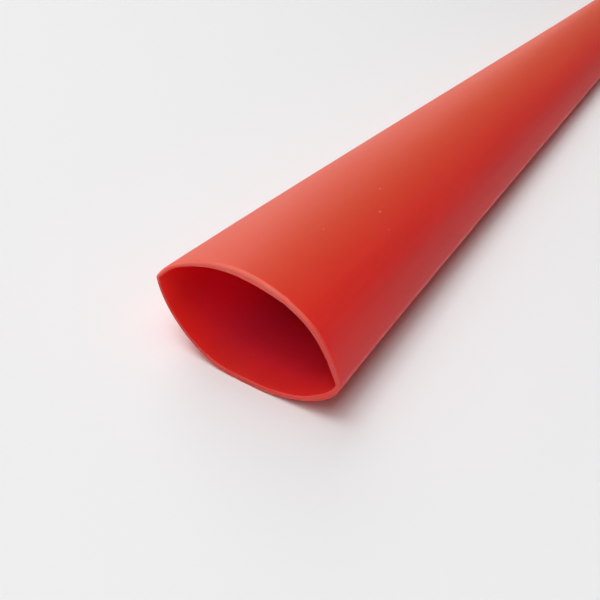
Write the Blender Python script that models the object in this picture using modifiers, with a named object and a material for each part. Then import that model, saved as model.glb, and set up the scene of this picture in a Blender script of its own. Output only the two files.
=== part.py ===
"""Heat shrink tube: one straight cut length of red polyolefin tube.

The tube was extruded, expanded to its supplied bore and wound up flat, so it keeps two fold lines
and opens to an almond section. It lies on the flattened stretch of its lower wall, along Y, with
the floor at Z = 0 and the origin under the middle of its length.
"""
import math

import bmesh
import bpy
from mathutils import Vector

# Stock: cut length and wall of the expanded tube, in metres
LENGTH = 1.0
WALL = 0.001

# Section, outer face, in metres and degrees. The lower wall runs from the left fold line down its
# flank, round the heel onto the rest stretch, up the right flank and, more sharply, up the cheek
# to the right fold line.
REST_WIDTH = 0.004
HEEL_RADIUS = 0.012
HEEL_TURN = 25.0
LEFT_FLANK_RADIUS = 0.0253
LEFT_FLANK_TURN = 37.0
RIGHT_FLANK_RADIUS = 0.021
RIGHT_FLANK_TURN = 34.5
CHEEK_RADIUS = 0.0052
CHEEK_TURN = 53.5
# The upper wall bends at the left fold line into a short shoulder. The crown leaves the shoulder
# in line with it and ends at the right fold line, which sets the crown's radius.
LEFT_FOLD_BEND = 50.0
SHOULDER_RADIUS = 0.0075
SHOULDER_TURN = 32.5

# Roundings: the bend inside each fold line, and the edges of the cut ends
FOLD_INSIDE_RADIUS = 0.0002
CUT_EDGE_ROUND = 0.0001

# Facets: their length along an arc, also as a share of a fold line's rounding, the fewest on an
# arc, and how many round a fold line and a cut edge
FACET_LENGTH = 0.0011
FACET_TO_FOLD = 1.6
LEAST_FACETS = 2
FOLD_SEGMENTS = 5
CUT_EDGE_SEGMENTS = 2
# An edge that bends more than this is a fold line or a cut edge
SHARP_ANGLE = math.radians(20.0)
WELD_DISTANCE = 0.00001

# Pigmented polyolefin, linear colour
TUBE_COLOUR = (0.54, 0.034, 0.026, 1.0)
TUBE_ROUGHNESS = 0.42


def left_of(heading):
    """Unit vector to the left of a heading in the section plane."""
    return Vector((-math.sin(heading), math.cos(heading)))


def arc(start, heading, radius, turn, steps):
    """Points along an arc from start, which is left out; a positive turn bends to the left."""
    side = math.copysign(radius, turn)
    centre = start + side * left_of(heading)
    return [centre - side * left_of(heading + turn * step / steps) for step in range(1, steps + 1)]


def facets(radius, turn, fold_reach):
    """How many facets an arc takes, none so short that the rounding of a fold line fills it."""
    length = max(FACET_LENGTH, FACET_TO_FOLD * fold_reach)
    return max(LEAST_FACETS, math.floor(radius * turn / length))


def section():
    """Outer outline of the tube, clockwise from the rest stretch's left end, and how far a fold
    line's rounding reaches along it."""
    heel_turn = math.radians(HEEL_TURN)
    left_turn = math.radians(LEFT_FLANK_TURN)
    right_turn = math.radians(RIGHT_FLANK_TURN)
    cheek_turn = math.radians(CHEEK_TURN)
    left_bend = math.radians(LEFT_FOLD_BEND)
    shoulder_turn = math.radians(SHOULDER_TURN)
    left_heading = math.pi - heel_turn
    shoulder_heading = left_heading - left_turn - left_bend
    crown_heading = shoulder_heading - shoulder_turn

    rest_left = Vector((0.0, 0.0))
    rest_right = Vector((REST_WIDTH, 0.0))
    heel_top = arc(rest_left, math.pi, HEEL_RADIUS, -heel_turn, 1)[-1]
    left_fold = arc(heel_top, left_heading, LEFT_FLANK_RADIUS, -left_turn, 1)[-1]
    crown_start = arc(left_fold, shoulder_heading, SHOULDER_RADIUS, -shoulder_turn, 1)[-1]
    flank_top = arc(rest_right, 0.0, RIGHT_FLANK_RADIUS, right_turn, 1)[-1]
    right_fold = arc(flank_top, right_turn, CHEEK_RADIUS, cheek_turn, 1)[-1]

    across = right_fold - crown_start
    half_turn = crown_heading - math.atan2(across.y, across.x)
    crown_radius = across.length / (2 * math.sin(half_turn))
    crown_turn = 2 * half_turn
    right_bend = crown_heading - crown_turn - right_turn - cheek_turn + math.pi
    bend = max(left_bend, right_bend)
    fold_reach = (WALL + FOLD_INSIDE_RADIUS) * math.tan(bend / 2)

    steps = facets(HEEL_RADIUS, heel_turn, fold_reach)
    heel = arc(rest_left, math.pi, HEEL_RADIUS, -heel_turn, steps)
    steps = facets(LEFT_FLANK_RADIUS, left_turn, fold_reach)
    left_flank = arc(heel_top, left_heading, LEFT_FLANK_RADIUS, -left_turn, steps)
    steps = facets(SHOULDER_RADIUS, shoulder_turn, fold_reach)
    shoulder = arc(left_fold, shoulder_heading, SHOULDER_RADIUS, -shoulder_turn, steps)
    steps = facets(crown_radius, crown_turn, fold_reach)
    crown = arc(crown_start, crown_heading, crown_radius, -crown_turn, steps)
    steps = facets(RIGHT_FLANK_RADIUS, right_turn, fold_reach)
    right_flank = arc(rest_right, 0.0, RIGHT_FLANK_RADIUS, right_turn, steps)
    steps = facets(CHEEK_RADIUS, cheek_turn, fold_reach)
    cheek = arc(flank_top, right_turn, CHEEK_RADIUS, cheek_turn, steps)

    down_right = list(reversed(right_flank + cheek[:-1])) + [rest_right]
    outline = [rest_left] + heel + left_flank + shoulder + crown + down_right
    middle = (min(p.x for p in outline) + max(p.x for p in outline)) / 2
    return [p - Vector((middle, 0.0)) for p in outline], fold_reach


def outer_surface(outline):
    """The open outer surface: the outline as a flat curve, drawn out along the tube."""
    curve = bpy.data.curves.new("outline", "CURVE")
    curve.dimensions = "2D"
    curve.fill_mode = "NONE"
    curve.extrude = LENGTH / 2
    spline = curve.splines.new("POLY")
    spline.points.add(len(outline) - 1)
    for point, place in zip(spline.points, outline):
        point.co = (place.x, place.y, 0.0, 1.0)
    spline.use_cyclic_u = True

    guide = bpy.data.objects.new("outline", curve)
    bpy.context.scene.collection.objects.link(guide)
    drawn = guide.evaluated_get(bpy.context.evaluated_depsgraph_get())
    mesh = bpy.data.meshes.new_from_object(drawn)
    bpy.data.objects.remove(guide)

    form = bmesh.new()
    form.from_mesh(mesh)
    bmesh.ops.remove_doubles(form, verts=form.verts, dist=WELD_DISTANCE)
    bmesh.ops.recalc_face_normals(form, faces=form.faces)
    form.to_mesh(mesh)
    form.free()
    return mesh


def add_bevel(piece, name, width, segments):
    """Round the edges that bend sharply."""
    bevel = piece.modifiers.new(name, "BEVEL")
    bevel.limit_method = "ANGLE"
    bevel.angle_limit = SHARP_ANGLE
    bevel.width = width
    bevel.segments = segments


def polyolefin():
    """The pigmented plastic of the tube, the same right through the wall."""
    material = bpy.data.materials.new("red_polyolefin")
    material.use_nodes = True
    shader = material.node_tree.nodes["Principled BSDF"]
    shader.inputs["Base Color"].default_value = TUBE_COLOUR
    shader.inputs["Roughness"].default_value = TUBE_ROUGHNESS
    shader.inputs["Metallic"].default_value = 0.0
    return material


def heat_shrink_tube(collection):
    """The tube, from its outer surface inwards."""
    outline, fold_reach = section()
    mesh = outer_surface(outline)
    mesh.shade_smooth()
    mesh.materials.append(polyolefin())
    tube = bpy.data.objects.new("heat_shrink_tube", mesh)
    tube.rotation_euler.x = math.radians(90.0)
    collection.objects.link(tube)

    add_bevel(tube, "fold_lines", fold_reach, FOLD_SEGMENTS)
    wall = tube.modifiers.new("wall", "SOLIDIFY")
    wall.thickness = WALL
    wall.offset = -1.0
    wall.use_even_offset = True
    add_bevel(tube, "cut_edges", CUT_EDGE_ROUND, CUT_EDGE_SEGMENTS)
    return tube


for old in list(bpy.data.objects):
    bpy.data.objects.remove(old)

stock = bpy.data.collections.new("heat_shrink_tube")
bpy.context.scene.collection.children.link(stock)
heat_shrink_tube(stock)
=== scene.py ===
"""The looks of the heat shrink tube: one cut length of red polyolefin sleeve on a pale floor."""
import math

import bpy
import numpy as np
from mathutils import Matrix, Vector


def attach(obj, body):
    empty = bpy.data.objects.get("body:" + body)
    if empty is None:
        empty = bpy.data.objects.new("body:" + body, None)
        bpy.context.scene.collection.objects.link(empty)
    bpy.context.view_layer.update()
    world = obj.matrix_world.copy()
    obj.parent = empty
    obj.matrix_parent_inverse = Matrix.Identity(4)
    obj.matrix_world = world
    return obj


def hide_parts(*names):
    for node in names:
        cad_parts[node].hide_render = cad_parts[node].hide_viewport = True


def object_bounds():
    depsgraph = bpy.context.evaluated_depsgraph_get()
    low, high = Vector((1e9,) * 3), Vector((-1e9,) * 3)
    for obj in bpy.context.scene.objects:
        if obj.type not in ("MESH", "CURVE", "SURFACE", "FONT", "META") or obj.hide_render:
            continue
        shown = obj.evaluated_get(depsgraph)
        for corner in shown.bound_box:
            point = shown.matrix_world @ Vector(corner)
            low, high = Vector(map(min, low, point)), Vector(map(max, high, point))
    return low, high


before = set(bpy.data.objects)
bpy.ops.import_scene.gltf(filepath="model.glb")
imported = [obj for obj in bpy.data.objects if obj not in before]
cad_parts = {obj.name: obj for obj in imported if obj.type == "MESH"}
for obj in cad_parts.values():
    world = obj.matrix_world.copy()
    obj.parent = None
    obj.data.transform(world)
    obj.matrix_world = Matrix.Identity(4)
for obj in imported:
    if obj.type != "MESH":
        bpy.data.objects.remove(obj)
cad_box = [list(corner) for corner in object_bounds()]

# SLEEVE: ITS SECTION
# Polyolefin tube, extruded, blown up to its supplied bore and wound flat on a reel. It springs
# open to an almond with a fold line at each side, and lies on its lower wall. Sizes in millimetres.
MM = 0.001
REST_WIDTH = 4.0
# Radius and turn in degrees of each arc, and the bend between the two arcs at the left fold line
RIGHT_FLANK = (21.0, 34.5)
CHEEK = (5.2, 53.5)
HEEL = (12.0, 25.0)
LEFT_FLANK = (25.3, 37.0)
SHOULDER = (7.5, 32.5)
LEFT_FOLD_BEND = 50.0
WALK_STEP = 0.02

# How far the soft wall stands out from these arcs, at shares of its length: the lower wall from
# the right fold line, the upper wall from the left one
LOWER_SET = ((0.0, 0.05), (0.02, 0.12), (0.06, 0.0), (0.09, -0.05), (0.15, 0.0), (0.2, 0.0),
             (0.28, -0.14), (0.32, -0.09), (0.38, 0.0), (0.46, 0.0), (0.51, -0.02),
             (0.56, -0.1), (0.61, -0.15), (0.66, -0.07), (0.7, 0.02), (0.77, 0.14),
             (0.86, 0.25), (0.95, 0.22), (1.0, 0.07))
UPPER_SET = ((0.0, -0.22), (0.09, -0.19), (0.2, -0.1), (0.28, -0.04), (0.41, -0.06), (0.54, -0.12),
             (0.6, -0.07), (0.66, 0.0), (0.74, 0.2), (0.79, 0.24), (0.84, 0.17), (0.92, 0.0),
             (1.0, -0.05))
# Wall thickness at the cut, which the shears leave thick under the crown, thin in the left flank
LOWER_WALL = ((0.0, 0.8), (0.04, 1.02), (0.08, 1.14), (0.12, 1.1), (0.19, 0.9), (0.25, 0.82),
              (0.32, 0.94), (0.38, 1.04), (0.48, 1.02), (0.54, 0.9), (0.62, 0.64), (0.72, 0.54),
              (0.95, 0.5), (1.0, 0.6))
UPPER_WALL = ((0.0, 0.7), (0.1, 0.7), (0.15, 0.8), (0.2, 0.93), (0.3, 1.14), (0.38, 1.26),
              (0.45, 1.38), (0.52, 1.32), (0.58, 1.2), (0.64, 1.05), (0.7, 1.07), (0.78, 1.14),
              (0.86, 1.1), (0.95, 1.0), (1.0, 0.85))
# These tables are eased over a share of the wall's length
EASED_OVER = 0.08
EASING_STEPS = 1000

# How far the fold lines' rounding reaches, outside and inside, and the points round each wall,
# which crowd towards the fold lines
OUTER_REACH = 0.6
INNER_REACH = 0.35
LOWER_POINTS = 150
UPPER_POINTS = 140
BEND_POINTS = 7
END_CROWDING = 0.4


def walk(start, heading, legs):
    """Points and outward normals along tangent legs (radius, clockwise turn in degrees)."""
    points = [np.array(start, float)]
    headings = [heading]
    for radius, degrees in legs:
        turn = math.radians(degrees)
        length = radius * turn if degrees else radius
        count = max(2, round(length / WALK_STEP))
        for _ in range(count):
            middle = headings[-1] - turn / count / 2
            forward = np.array([math.cos(middle), math.sin(middle)])
            points.append(points[-1] + forward * length / count)
            headings.append(headings[-1] - turn / count)
    headings = np.array(headings)
    return np.array(points), np.stack([-np.sin(headings), np.cos(headings)], axis=1)


def along(points):
    """Distance of each point along its line."""
    steps = np.linalg.norm(np.diff(points, axis=0), axis=1)
    return np.concatenate([[0.0], np.cumsum(steps)])


def moved_out(wall, distances):
    """Points moved out square to the wall, by eased distances at shares of its length."""
    points, normals = wall
    grid = np.linspace(-EASED_OVER, 1.0 + EASED_OVER, EASING_STEPS + 1)
    window = np.hanning(round(EASING_STEPS * EASED_OVER))
    eased = np.convolve(np.interp(grid, *zip(*distances)), window / window.sum(), "valid")
    start = (len(grid) - len(eased)) // 2
    share = along(points) / along(points)[-1]
    out = np.interp(share, grid[start:start + len(eased)], eased)
    return points + normals * out[:, None]


def trimmed(face, fold, across, keep_start):
    """A face cut off where it crosses a fold line's bisector, which across is square to."""
    side = (face - fold) @ across
    crossed = np.nonzero(np.diff(np.sign(side)))[0]
    near = crossed[np.argmin(np.linalg.norm(face[crossed] - fold, axis=1))]
    share = side[near] / (side[near] - side[near + 1])
    end = face[near] + (face[near + 1] - face[near]) * share
    if keep_start:
        return np.vstack([face[:near + 1], end])
    return np.vstack([end, face[near + 1:]])


def spaced(points, reach, count):
    """Points along a line, crowded towards both ends and short of each by the reach."""
    distance = along(points)
    share = np.linspace(0.0, 1.0, count)
    share += END_CROWDING * (0.5 - 0.5 * np.cos(math.pi * share) - share)
    wanted = reach + share * (distance[-1] - 2 * reach)
    return np.stack([np.interp(wanted, distance, points[:, k]) for k in (0, 1)], axis=1)


def bend(before, corner, after):
    """The rounding of a fold line, without its two ends."""
    t = np.linspace(0.0, 1.0, BEND_POINTS + 2)[1:-1, None]
    return before * (1 - t) ** 2 + corner * 2 * t * (1 - t) + after * t ** 2


def closed_outline(lower, upper, reach):
    """Lower wall, left fold line, upper wall and right fold line as one closed outline."""
    low = spaced(lower, reach, LOWER_POINTS)
    high = spaced(upper, reach, UPPER_POINTS)
    left = bend(low[-1], (lower[-1] + upper[0]) / 2, high[0])
    right = bend(high[-1], (upper[-1] + lower[0]) / 2, low[0])
    return np.vstack([low, left, high, right])


fold_heading = math.pi + math.radians(RIGHT_FLANK[1] + CHEEK[1])
lower = walk((0.0, 0.0), fold_heading, [CHEEK, RIGHT_FLANK, (REST_WIDTH, 0.0), HEEL, LEFT_FLANK])
right_fold, left_fold = lower[0][[0, -1]]

shoulder_heading = math.pi - math.radians(HEEL[1] + LEFT_FLANK[1] + LEFT_FOLD_BEND)
crown_heading = shoulder_heading - math.radians(SHOULDER[1])
crown_start = walk(left_fold, shoulder_heading, [SHOULDER])[0][-1]
crown_span = right_fold - crown_start
half_turn = crown_heading - math.atan2(crown_span[1], crown_span[0])
crown = (np.hypot(*crown_span) / (2 * math.sin(half_turn)), math.degrees(2 * half_turn))
upper = walk(left_fold, shoulder_heading, [SHOULDER, crown])

lower_outer = moved_out(lower, LOWER_SET)
upper_outer = moved_out(upper, UPPER_SET)
lower_inner = moved_out((lower_outer, lower[1]), [(share, -wall) for share, wall in LOWER_WALL])
upper_inner = moved_out((upper_outer, upper[1]), [(share, -wall) for share, wall in UPPER_WALL])
left_across = lower[1][-1] - upper[1][0]
right_across = upper[1][-1] - lower[1][0]
lower_inner = trimmed(lower_inner, left_fold, left_across, True)
lower_inner = trimmed(lower_inner, right_fold, right_across, False)
upper_inner = trimmed(upper_inner, left_fold, left_across, False)
upper_inner = trimmed(upper_inner, right_fold, right_across, True)

outer = closed_outline(lower_outer, upper_outer, OUTER_REACH)
inner = closed_outline(lower_inner, upper_inner, INNER_REACH)
# The outline fills the width and height of the CAD box
low_corner, high_corner = np.array(cad_box)[:, [0, 2]] / MM
fit = (high_corner - low_corner) / np.ptp(outer, axis=0)
inner = low_corner + (inner - outer.min(0)) * fit
outer = low_corner + (outer - outer.min(0)) * fit

# SLEEVE: ITS SKIN
# The outer and inner faces run the length of the tube and meet at both cut ends. Shears cut them
# off, slightly wavy, with a soft lip outside and a sharper edge inside. Places round the girth are
# in millimetres from the right fold line, along the lower wall first.
LENGTH = (cad_box[1][1] - cad_box[0][1]) / MM
# The lip's radius as a share of the wall, by place round the girth
LIP_SHARES = ((0.0, 0.15), (40.0, 0.15), (46.0, 0.36), (78.0, 0.36), (84.0, 0.15))
INNER_EDGE_RADIUS = 0.12
# Rows of points round the lip and the inner edge, across the cut face between them, and along the
# outer face and the bore, which stand closer together towards the photographed end
LIP_STEPS = 7
INNER_EDGE_STEPS = 3
CUT_STEPS = 5
FACE_STEPS = 170
BORE_STEPS = 45
STEP_GROWTH = 1.5
# Waves of each cut edge: how many there are round the girth, their phase and their height
NEAR_WAVES = ((2, 0.1, 0.02), (7, 0.4, 0.02), (19, 0.2, 0.01))
FAR_WAVES = ((2, 0.6, 0.08), (5, 0.9, 0.03), (17, 0.5, 0.015))
# The shears leave a groove in the cut face along the lower wall, deepest midway, and nicks in the
# near edge: place round the girth, width and depth
GROOVE_MIDDLE = 17.0
GROOVE_REACH = 7.0
GROOVE_DEPTH = 0.1
NICKS = ((67.8, 0.35, 0.14), (20.2, 0.2, 0.12), (79.4, 0.25, 0.12), (8.0, 0.3, 0.06))
# Handling has left a faint crease on the crown, with a hollow beside it, near the photographed end:
# place round the girth, width and height out of the skin, then its middle and reach along the tube
CREASES = ((71.7, 0.5, 0.045), (69.9, 0.45, -0.035), (77.0, 0.7, 0.02))
CREASE_MIDDLE = 45.0
CREASE_REACH = 45.0
# The wall is even away from the cut ends, where the shears squeeze it
BORE_WALL = 0.9
SQUEEZE_REACH = 4.0
# The reel leaves the length with a slight sway to its sides, which sets in just past the cut
SWAY = 0.33
SWAY_LENGTH = 800.0
SWAY_START = 25.0

ring = len(outer)
between = inner - outer
thickness = np.linalg.norm(between, axis=1)
inward = between / thickness[:, None]
girth = along(np.vstack([outer, outer[:1]]))
lip_radius = thickness * np.interp(girth[:-1], *zip(*LIP_SHARES))
crease = sum(height * np.exp(-((girth[:-1] - spot) / width) ** 2)
             for spot, width, height in CREASES)
groove = GROOVE_DEPTH * np.exp(-((girth[:-1] - GROOVE_MIDDLE) / GROOVE_REACH) ** 2)


def wavy(waves):
    """How far a cut edge lies back from its plane, round the girth."""
    return sum(height * (0.5 + 0.5 * np.sin(
        2 * math.pi * (lobes * girth[:-1] / girth[-1] + phase))) for lobes, phase, height in waves)


near_cut = wavy(NEAR_WAVES)
for spot, width, depth in NICKS:
    near_cut += depth * np.exp(-((girth[:-1] - spot) / width) ** 2)
far_cut = wavy(FAR_WAVES)

lip = np.linspace(0.0, math.pi / 2, LIP_STEPS + 1)
edge = np.linspace(0.0, math.pi / 2, INNER_EDGE_STEPS + 1)
cut_share = np.linspace(0.0, 1.0, CUT_STEPS + 2)[1:-1]


def cut_rows():
    """Each row of an end: its depth into the wall and distance from the cut plane, round the
    girth, and how far it belongs to the cut face, from 0 to 1."""
    rows = []
    for angle in lip:
        rows.append((lip_radius * (1 - math.cos(angle)), lip_radius * (1 - math.sin(angle)),
                     math.sin(angle)))
    for share in cut_share:
        low, high = lip_radius, thickness - INNER_EDGE_RADIUS
        rows.append((low + (high - low) * share, groove * math.sin(math.pi * share) ** 2, 1.0))
    for angle in edge[::-1]:
        rows.append((thickness - INNER_EDGE_RADIUS * (1 - math.cos(angle)),
                     INNER_EDGE_RADIUS * (1 - math.sin(angle)), math.sin(angle)))
    return rows


def lengthwise(count, from_end):
    """Places along the tube, closer together towards the end in the photo."""
    share = np.linspace(0.0, 1.0, count + 2)[1:-1]
    return from_end + share ** STEP_GROWTH * (LENGTH - 2 * from_end)


def sway(place):
    """How far the tube lies to the right at a distance from the cut."""
    started = 1 - np.exp(-place / SWAY_START)
    return -SWAY * started * np.cos(2 * math.pi * place / SWAY_LENGTH)


# Rows round the girth: the near end, the bore, the far end, and back along the outer face
rows = []
for depth, back, cut in cut_rows():
    rows.append((depth, back + near_cut, cut))
for place in lengthwise(BORE_STEPS, INNER_EDGE_RADIUS)[1:]:
    squeezed = np.exp(-min(place, LENGTH - place) / SQUEEZE_REACH)
    rows.append((BORE_WALL + (thickness - BORE_WALL) * squeezed, np.full(ring, place), 0.0))
for depth, back, cut in cut_rows()[::-1]:
    rows.append((depth, LENGTH - back - far_cut, cut))
for place in lengthwise(FACE_STEPS, lip_radius.max())[::-1]:
    faint = math.exp(-((place - CREASE_MIDDLE) / CREASE_REACH) ** 4)
    rows.append((-crease * faint, np.full(ring, place), 0.0))

vertices = []
cut_shares = []
inside_shares = []
for depth, place, cut in rows:
    section = outer + inward * depth[:, None]
    spots = np.stack([section[:, 0] + sway(place), place - LENGTH / 2, section[:, 1]], axis=1)
    vertices.append(spots * MM)
    cut_shares += [cut] * ring
    inside_shares += np.clip(depth / thickness, 0.0, 1.0).tolist()
faces = []
corners = []
for row in range(len(rows)):
    following = (row + 1) % len(rows)
    for k in range(ring):
        beside = (k + 1) % ring
        faces.append((row * ring + k, row * ring + beside,
                      following * ring + beside, following * ring + k))
        corners += [(row, k), (row, k + 1), (following, k + 1), (following, k)]

mesh = bpy.data.meshes.new("shrink_sleeve")
mesh.from_pydata(np.vstack(vertices).tolist(), [], faces)
skin = mesh.uv_layers.new(name="skin")
row_place = [float(np.mean(place)) for _, place, _ in rows]
flat = [value * MM for row, k in corners for value in (girth[k], row_place[row])]
skin.data.foreach_set("uv", flat)
for name, shares in (("cut", cut_shares), ("inside", inside_shares)):
    mesh.attributes.new(name, "FLOAT", "POINT").data.foreach_set("value", shares)
mesh.shade_smooth()
mesh.update()

sleeve = bpy.data.objects.new("shrink_sleeve", mesh)
bpy.context.scene.collection.objects.link(sleeve)
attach(sleeve, "root")
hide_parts("heat_shrink_tube")

# SLEEVE: ITS FINISH
# Polyolefin, pigmented right through and extruded: a satin, saturated red that lets a little light
# in, with die lines along it and a fine grain. Its upper left side has a painted sheen, paler and
# towards orange, and the face that the shears cut is duller. The bore and the cut face carry
# painted light and shade. A few specks of dust lie on the crown.
RESIN = "#E61517"
RESIN_PALE = "#EE1F1C"
# A painted sheen: the upper left side of the skin paler and more orange
PAINTED_SHEEN_RED = "#DE4A28"
DUST = "#F2C4BC"
# The bore in painted light and shade: a darker mouth, a lighter mouth beside the left fold line,
# and a brighter, pinker red deeper in
MOUTH_PAINTED_SHADE = "#D2201B"
FOLD_MOUTH_PAINTED_LIGHT = "#F63C36"
BORE_PAINTED_LIGHT = "#FF3664"
# The cut face along the lower wall, then its painted shade in the left flank, its painted light
# under the crown, and the painted highlight on the crown's lip
CUT_RESIN = "#D0473F"
CUT_FLANK_PAINTED_SHADE = "#B03C32"
CUT_CROWN_PAINTED_LIGHT = "#D65A4E"
LIP_PAINTED_HIGHLIGHT = "#E27361"
# Round the girth: where each of these fades in from the right fold line, and out again
SHEEN_IN = (36.0, 44.0)
SHEEN_OUT = (79.0, 59.0)
FOLD_MOUTH_IN = (36.0, 43.0)
FOLD_MOUTH_OUT = (50.0, 44.0)
CUT_FLANK_IN = (22.0, 29.0)
CUT_FLANK_OUT = (43.0, 40.0)
CUT_CROWN_IN = (40.0, 44.0)
CUT_CROWN_OUT = (78.0, 64.0)
# Along the tube from the cut: where the mouth's painted shade turns into the deeper bore's painted
# light
MOUTH_DEPTH = (0.0, 20.0)
# Across the wall from its outer face: where the lip's painted highlight starts and where it is
# full, as shares
LIP_REACH = (0.6, 0.3)
# Patterns, with their size round the girth and along the tube: fine lines and broader bands from
# the die, which run on for a long way, and slow unevenness over centimetres. The grain is taken as
# about 0.05 mm on the real skin, which is too fine to show, so it is drawn coarser.
DIE_LINES = (0.6, 90.0)
BANDS = (3.5, 400.0)
MOTTLE = (16.0, 32.0)
GRAIN = (0.28, 0.28)
BAND_SHARE = 0.5
BLOTCH_RANGE = (0.35, 0.65)
DIE_LINE_HEIGHT = 0.012
GRAIN_HEIGHT = 0.02
# Specks of dust: place round the girth, place along the tube and radius, and the share of the
# radius over which a speck is solid
SPECKS = ((63.4, 49.5, 0.18), (67.1, 41.0, 0.26), (62.8, 23.5, 0.14), (70.8, 38.0, 0.14),
          (49.4, 19.5, 0.14), (44.9, 40.5, 0.14))
SPECK_CORE = 0.4
ROUGHNESS = (0.47, 0.53)
CUT_ROUGHNESS = 0.6
# The index of polyethylene and its kin
IOR = 1.5
# How far red, green and blue light go into the wall, as shares of the scale
SCATTER_SHARES = (1.0, 0.25, 0.2)
SCATTER_SCALE = 1.6


def linear(hex_colour):
    """Linear colour of an sRGB hex value."""
    parts = [int(hex_colour[k:k + 2], 16) / 255 for k in (1, 3, 5)]
    return (*(p / 12.92 if p <= 0.04045 else ((p + 0.055) / 1.055) ** 2.4 for p in parts), 1.0)


def add_node(tree, kind, inputs, **settings):
    """Add a node with its settings; each input is a value or a socket to link from."""
    made = tree.nodes.new(kind)
    for name, value in settings.items():
        setattr(made, name, value)
    for name, value in inputs.items():
        if isinstance(value, bpy.types.NodeSocket):
            tree.links.new(value, made.inputs[name])
        else:
            made.inputs[name].default_value = value
    return made


polyolefin = bpy.data.materials.new("polyolefin_extruded_red")
polyolefin.use_nodes = True
tree = polyolefin.node_tree
shader = tree.nodes["Principled BSDF"]
place = add_node(tree, "ShaderNodeUVMap", {}, uv_map="skin").outputs["UV"]
cut = add_node(tree, "ShaderNodeAttribute", {}, attribute_name="cut").outputs["Fac"]
inside = add_node(tree, "ShaderNodeAttribute", {}, attribute_name="inside").outputs["Fac"]


def pattern(name, sizes, detail):
    """Noise on the skin laid out flat, with its size in mm round the girth and along the tube."""
    scale = (1 / (sizes[0] * MM), 1 / (sizes[1] * MM), 1.0)
    spot = add_node(tree, "ShaderNodeVectorMath", {0: place, 1: scale}, operation="MULTIPLY")
    spot.label = name
    return add_node(tree, "ShaderNodeTexNoise", {
        "Vector": spot.outputs[0], "Scale": 1.0, "Detail": detail},
        noise_dimensions="2D").outputs["Fac"]


die_lines = pattern("die lines", DIE_LINES, 2.0)
grain = pattern("grain", GRAIN, 2.0)
mottle = pattern("mottle", MOTTLE, 3.0)
bands = pattern("bands", BANDS, 2.0)

dusty = 0.0
for spot_round, spot_along, radius in SPECKS:
    middle = (spot_round * MM, spot_along * MM, 0.0)
    away = add_node(tree, "ShaderNodeVectorMath", {0: place, 1: middle},
                    operation="DISTANCE").outputs["Value"]
    speck = add_node(tree, "ShaderNodeMapRange", {
        "Value": away, "From Min": radius * MM,
        "From Max": SPECK_CORE * radius * MM}).outputs["Result"]
    dusty = add_node(tree, "ShaderNodeMath", {0: dusty, 1: speck}, operation="ADD").outputs["Value"]
outside = add_node(tree, "ShaderNodeMath", {0: 1.0, 1: inside},
                   operation="SUBTRACT").outputs["Value"]
dusty = add_node(tree, "ShaderNodeMath", {0: dusty, 1: outside},
                 operation="MULTIPLY").outputs["Value"]

# The colours, from the skin to the bore and the cut face. A Mix node takes numbers at its inputs 2
# and 3 and gives one at its output 0; it takes colours at 6 and 7 and gives one at 2.
blotched = add_node(tree, "ShaderNodeMix", {"Factor": BAND_SHARE, 2: mottle, 3: bands},
                    data_type="FLOAT").outputs[0]
blotched = add_node(tree, "ShaderNodeMapRange", {
    "Value": blotched, "From Min": BLOTCH_RANGE[0],
    "From Max": BLOTCH_RANGE[1]}).outputs["Result"]
tint = add_node(tree, "ShaderNodeMix", {
    "Factor": blotched, 6: linear(RESIN), 7: linear(RESIN_PALE)}, data_type="RGBA").outputs[2]
split_place = add_node(tree, "ShaderNodeSeparateXYZ", {"Vector": place})


def between_places(rise, fall):
    """Share from 0 to 1 of a stretch round the girth that rises and falls between places in mm."""
    ends = [add_node(tree, "ShaderNodeMapRange", {
        "Value": split_place.outputs["X"], "From Min": first * MM, "From Max": last * MM},
        interpolation_type="SMOOTHSTEP").outputs["Result"] for first, last in (rise, fall)]
    return add_node(tree, "ShaderNodeMath", {0: ends[0], 1: ends[1]},
                    operation="MULTIPLY").outputs["Value"]


# The painted sheen on the skin's upper left side, paler and more orange
painted_sheen = between_places(SHEEN_IN, SHEEN_OUT)
tint = add_node(tree, "ShaderNodeMix", {
    "Factor": painted_sheen, 6: tint, 7: linear(PAINTED_SHEEN_RED)}, data_type="RGBA").outputs[2]
# The bore's painted light and shade: darker at the mouth, lighter by the left fold, brighter deep
# in
painted_mouth_tint = add_node(tree, "ShaderNodeMix", {
    "Factor": between_places(FOLD_MOUTH_IN, FOLD_MOUTH_OUT), 6: linear(MOUTH_PAINTED_SHADE),
    7: linear(FOLD_MOUTH_PAINTED_LIGHT)}, data_type="RGBA").outputs[2]
deep = add_node(tree, "ShaderNodeMapRange", {
    "Value": split_place.outputs["Y"], "From Min": MOUTH_DEPTH[0] * MM,
    "From Max": MOUTH_DEPTH[1] * MM}, interpolation_type="SMOOTHSTEP").outputs["Result"]
painted_bore_tint = add_node(tree, "ShaderNodeMix", {
    "Factor": deep, 6: painted_mouth_tint, 7: linear(BORE_PAINTED_LIGHT)}, data_type="RGBA").outputs[2]
tint = add_node(tree, "ShaderNodeMix", {
    "Factor": inside, 6: tint, 7: painted_bore_tint}, data_type="RGBA").outputs[2]
# The cut face in painted shade along the left flank and in painted light under the crown
cut_tint = add_node(tree, "ShaderNodeMix", {
    "Factor": between_places(CUT_FLANK_IN, CUT_FLANK_OUT), 6: linear(CUT_RESIN),
    7: linear(CUT_FLANK_PAINTED_SHADE)}, data_type="RGBA").outputs[2]
crownward = between_places(CUT_CROWN_IN, CUT_CROWN_OUT)
cut_tint = add_node(tree, "ShaderNodeMix", {
    "Factor": crownward, 6: cut_tint, 7: linear(CUT_CROWN_PAINTED_LIGHT)}, data_type="RGBA").outputs[2]
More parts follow.
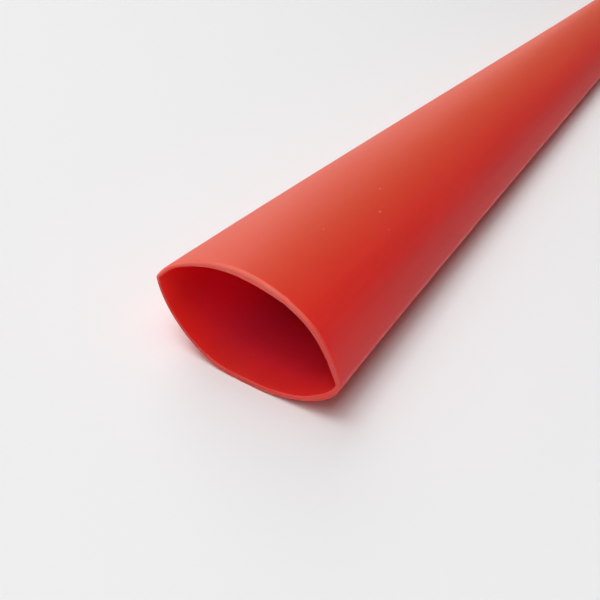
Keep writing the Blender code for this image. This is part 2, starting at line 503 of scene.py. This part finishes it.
# A painted highlight on the crown's lip, in the outer part of the cut face
painted_highlight_share = add_node(tree, "ShaderNodeMapRange", {
    "Value": inside, "From Min": LIP_REACH[0], "From Max": LIP_REACH[1],
    "To Max": crownward}).outputs["Result"]
cut_tint = add_node(tree, "ShaderNodeMix", {
    "Factor": painted_highlight_share, 6: cut_tint, 7: linear(LIP_PAINTED_HIGHLIGHT)}, data_type="RGBA").outputs[2]
tint = add_node(tree, "ShaderNodeMix", {
    "Factor": cut, 6: tint, 7: cut_tint}, data_type="RGBA").outputs[2]
tint = add_node(tree, "ShaderNodeMix", {
    "Factor": dusty, 6: tint, 7: linear(DUST)}, data_type="RGBA").outputs[2]
tree.links.new(tint, shader.inputs["Base Color"])

rough = add_node(tree, "ShaderNodeMapRange", {
    "Value": mottle, "To Min": ROUGHNESS[0], "To Max": ROUGHNESS[1]}).outputs["Result"]
rough = add_node(tree, "ShaderNodeMix", {"Factor": cut, 2: rough, 3: CUT_ROUGHNESS},
                 data_type="FLOAT").outputs[0]
tree.links.new(rough, shader.inputs["Roughness"])

lined = add_node(tree, "ShaderNodeBump", {
    "Height": die_lines, "Distance": DIE_LINE_HEIGHT * MM})
grained = add_node(tree, "ShaderNodeBump", {
    "Height": grain, "Distance": GRAIN_HEIGHT * MM, "Normal": lined.outputs["Normal"]})
tree.links.new(grained.outputs["Normal"], shader.inputs["Normal"])
shader.inputs["IOR"].default_value = IOR
shader.inputs["Subsurface Weight"].default_value = 1.0
shader.inputs["Subsurface Radius"].default_value = SCATTER_SHARES
shader.inputs["Subsurface Scale"].default_value = SCATTER_SCALE * MM
mesh.materials.append(polyolefin)

# FLOOR AND LIGHT
# A plain floor of matt white paper under round softboxes, all aimed at the open end and far enough
# off to light the floor evenly: the strongest in front, and weaker ones on the left and behind,
# which give the skin its sheen there. The room has pale walls and a dim ceiling. Sizes in metres.
FLOOR_SIZE = 5.0
# White paper with no coating: soft shadows, hardly any gloss
FLOOR_COLOUR = "#F4F5F6"
FLOOR_ROUGHNESS = 0.9
FLOOR_SPECULAR = 0.2
# The walls give way to the ceiling at this height, the sine of its elevation from the floor
ROOM_COLOUR = "#FFF4EE"
WALL_STRENGTH = 0.36
CEILING_STRENGTH = 0.07
WALL_HEIGHT = 0.35
LIT_POINT = Vector((0.0, -0.42, 0.01))
SOFTBOX_DISTANCE = 3.0
# Name, heading from the X axis and height in degrees, width in metres, power in watts
SOFTBOXES = (
    ("left_high", 166.0, 58.0, 1.6, 13.5),
    ("front_left_high", 227.0, 63.0, 1.6, 30.0),
    ("front", 270.0, 56.0, 1.6, 24.0),
    ("front_low", 270.0, 36.0, 1.4, 10.0),
    ("back_left", 135.0, 38.0, 1.6, 12.0),
    ("back_left_low", 135.0, 16.0, 1.4, 5.5),
    ("back_low", 108.0, 9.0, 0.8, 1.2),
    ("overhead", 0.0, 90.0, 1.6, 8.0),
)

floor_mesh = bpy.data.meshes.new("floor")
half = FLOOR_SIZE / 2
floor_mesh.from_pydata([(-half, -half, 0.0), (half, -half, 0.0), (half, half, 0.0),
                        (-half, half, 0.0)], [], [(0, 1, 2, 3)])
floor = bpy.data.objects.new("floor", floor_mesh)
bpy.context.scene.collection.objects.link(floor)
paper = bpy.data.materials.new("paper_matt_white")
paper.use_nodes = True
paper_shader = paper.node_tree.nodes["Principled BSDF"]
paper_shader.inputs["Base Color"].default_value = linear(FLOOR_COLOUR)
paper_shader.inputs["Roughness"].default_value = FLOOR_ROUGHNESS
paper_shader.inputs["Specular IOR Level"].default_value = FLOOR_SPECULAR
floor_mesh.materials.append(paper)

room = bpy.data.worlds.new("studio")
room.use_nodes = True
background = room.node_tree.nodes["Background"]
background.inputs["Color"].default_value = linear(ROOM_COLOUR)
facing = add_node(room.node_tree, "ShaderNodeTexCoord", {}).outputs["Generated"]
upward = add_node(room.node_tree, "ShaderNodeSeparateXYZ", {"Vector": facing}).outputs["Z"]
glow = add_node(room.node_tree, "ShaderNodeMapRange", {
    "Value": upward, "From Min": 0.0, "From Max": WALL_HEIGHT, "To Min": WALL_STRENGTH,
    "To Max": CEILING_STRENGTH}, interpolation_type="SMOOTHSTEP").outputs["Result"]
room.node_tree.links.new(glow, background.inputs["Strength"])
bpy.context.scene.world = room

for name, heading, height, width, power in SOFTBOXES:
    heading, height = math.radians(heading), math.radians(height)
    softbox = bpy.data.lights.new(name, "AREA")
    softbox.shape = "DISK"
    softbox.size = width
    softbox.energy = power
    lamp = bpy.data.objects.new(name, softbox)
    towards = Vector((math.cos(heading) * math.cos(height), math.sin(heading) * math.cos(height),
                      math.sin(height)))
    lamp.location = LIT_POINT + SOFTBOX_DISTANCE * towards
    lamp.rotation_euler = (-towards).to_track_quat("-Z", "Y").to_euler()
    bpy.context.scene.collection.objects.link(lamp)

# CAMERA
# It stands close before the cut end, a little to its right, and looks down along the tube, rolled
# as in the photo. Its lens is 48 mm on a 36 mm frame, and its place is in metres.
LENS = 48.0
FRAME_WIDTH = 36.0
NEAREST_SEEN = 0.01
CAMERA_PLACE = (0.04189, -0.59544, 0.08012)
AZIMUTH = math.radians(19.73)
DOWN = math.radians(31.06)
ROLL = math.radians(13.54)

ahead = Vector((-math.sin(AZIMUTH) * math.cos(DOWN), math.cos(AZIMUTH) * math.cos(DOWN),
                -math.sin(DOWN)))
level = Vector((math.cos(AZIMUTH), math.sin(AZIMUTH), 0.0))
upright = level.cross(ahead)
right = level * math.cos(ROLL) + upright * math.sin(ROLL)
up = upright * math.cos(ROLL) - level * math.sin(ROLL)
camera = bpy.data.objects.new("camera", bpy.data.cameras.new("camera"))
camera.data.lens = LENS
camera.data.sensor_width = FRAME_WIDTH
camera.data.clip_start = NEAREST_SEEN
turned = Matrix((right, up, -ahead)).transposed().to_4x4()
camera.matrix_world = Matrix.Translation(CAMERA_PLACE) @ turned
bpy.context.scene.collection.objects.link(camera)
bpy.context.scene.camera = camera
bpy.context.scene.view_settings.view_transform = "Standard"

bpy.context.view_layer.update()
